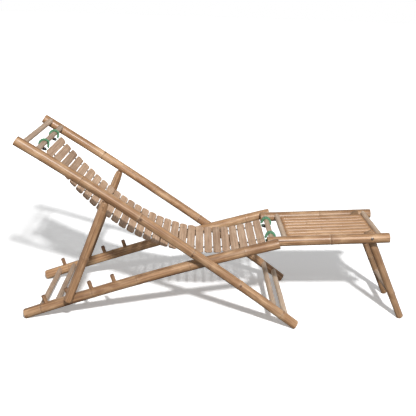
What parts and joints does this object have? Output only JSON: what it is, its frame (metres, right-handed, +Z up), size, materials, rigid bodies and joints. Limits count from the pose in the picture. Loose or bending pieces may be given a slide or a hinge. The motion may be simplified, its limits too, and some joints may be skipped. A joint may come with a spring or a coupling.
{
  "type": "bamboo folding recliner",
  "caption": "Bamboo deck recliner: crossed pole frames, notched back prop, hung slat mat and a lifting footrest on folding legs.",
  "frame": {"origin": "middle of the footprint, on the floor", "axes": "+X towards the foot end, along the chair; +Y across the chair; +Z up"},
  "size_m": [1.8032, 0.6244, 0.8669],
  "materials": {
    "pole_bamboo": "satin bamboo skin, golden tan with fine grain and dark node lines",
    "rung_bamboo": "dull pinkish beige bamboo",
    "slat_bamboo": "dull split bamboo, fibrous, with darker edges",
    "peg_wood": "brown wood with dark cut ends",
    "pin_metal": "dull weathered steel",
    "green_cord": "twisted green cord",
    "black_sleeve": "matt black sleeve"
  },
  "bodies": {
    "base": {"near_rail": "pole_bamboo", "near_peg_1": "peg_wood", "near_peg_2": "peg_wood", "near_peg_3": "peg_wood", "near_peg_4": "peg_wood", "near_crossing_pin": "pin_metal", "far_rail": "pole_bamboo", "far_peg_1": "peg_wood", "far_peg_2": "peg_wood", "far_peg_3": "peg_wood", "far_peg_4": "peg_wood", "far_crossing_pin": "pin_metal", "rear_base_rung": "rung_bamboo", "second_base_rung": "rung_bamboo", "front_mat_rung": "rung_bamboo", "near_front_cord_loop": "green_cord", "near_front_cord_sleeve": "black_sleeve", "far_front_cord_loop": "green_cord", "far_front_cord_sleeve": "black_sleeve"},
    "back_frame": {"near_back_pole": "pole_bamboo", "near_prop_tongue": "peg_wood", "far_back_pole": "pole_bamboo", "far_prop_tongue": "peg_wood", "top_rung": "rung_bamboo", "mat_rung": "rung_bamboo", "upper_front_rung": "rung_bamboo", "lower_front_rung": "rung_bamboo"},
    "prop_frame": {"near_prop": "pole_bamboo", "far_prop": "pole_bamboo", "near_prop_pin": "pin_metal", "far_prop_pin": "pin_metal", "prop_rung": "peg_wood"},
    "footrest": {"near_footrest_pole": "pole_bamboo", "near_leg_pin": "pin_metal", "far_footrest_pole": "pole_bamboo", "far_leg_pin": "pin_metal", "inner_footrest_rung": "rung_bamboo", "outer_footrest_rung": "rung_bamboo", "footrest_cane_1": "pole_bamboo", "footrest_cane_2": "pole_bamboo", "footrest_cane_3": "pole_bamboo", "footrest_cane_4": "pole_bamboo", "footrest_cane_5": "pole_bamboo", "footrest_cane_6": "pole_bamboo", "footrest_cane_7": "pole_bamboo"},
    "leg_frame": {"near_leg": "pole_bamboo", "far_leg": "pole_bamboo", "leg_rung": "rung_bamboo"},
    "mat_back": {"mat_section_1": "slat_bamboo", "mat_section_2": "slat_bamboo", "mat_section_3": "slat_bamboo", "mat_section_4": "slat_bamboo", "near_top_cord_loop": "green_cord", "near_top_cord_sleeve": "black_sleeve", "far_top_cord_loop": "green_cord", "far_top_cord_sleeve": "black_sleeve"},
    "mat_seat": {"mat_section_5": "slat_bamboo"},
    "mat_lap": {"mat_section_6": "slat_bamboo"},
    "mat_knee": {"mat_section_7": "slat_bamboo"}
  },
  "joints": [
    {"name": "back_raise", "type": "hinge", "parent": "base", "child": "back_frame", "pos_m": [-0.04488, 0, 0.30571], "axis": [0, 1, 0], "range_deg": [0, 16]},
    {"name": "prop_swing", "type": "hinge", "parent": "back_frame", "child": "prop_frame", "pos_m": [-0.51491, 0, 0.5706], "axis": [0, 1, 0], "range_deg": [-16, 0]},
    {"name": "mat_bend_1", "type": "hinge", "parent": "back_frame", "child": "mat_back", "pos_m": [-0.80198, 0, 0.807], "axis": [0, 1, 0], "range_deg": [0, 2.12]},
    {"name": "mat_bend_2", "type": "hinge", "parent": "mat_back", "child": "mat_seat", "pos_m": [-0.27467, 0, 0.3692], "axis": [0, 1, 0], "range_deg": [-6.97, 0]},
    {"name": "mat_bend_3", "type": "hinge", "parent": "mat_seat", "child": "mat_lap", "pos_m": [-0.11283, 0, 0.33307], "axis": [0, 1, 0], "range_deg": [-5.58, 0]},
    {"name": "mat_bend_4", "type": "hinge", "parent": "mat_lap", "child": "mat_knee", "pos_m": [0.05284, 0, 0.33817], "axis": [0, 1, 0], "range_deg": [-4.74, 0]},
    {"name": "footrest_lift", "type": "hinge", "parent": "base", "child": "footrest", "pos_m": [0.24262, 0, 0.39224], "axis": [0, -1, 0], "range_deg": [0, 100]},
    {"name": "leg_fold", "type": "hinge", "parent": "footrest", "child": "leg_frame", "pos_m": [0.69665, 0, 0.42201], "axis": [0, 1, 0], "range_deg": [0, 95]}
  ],
  "couplings": [
    {"joint": "prop_swing", "follows": "back_raise", "ratio": -1},
    {"joint": "mat_bend_1", "follows": "back_raise", "ratio": 0.1325},
    {"joint": "mat_bend_2", "follows": "back_raise", "ratio": -0.4359},
    {"joint": "mat_bend_3", "follows": "back_raise", "ratio": -0.3488},
    {"joint": "mat_bend_4", "follows": "back_raise", "ratio": -0.2964}
  ]
}
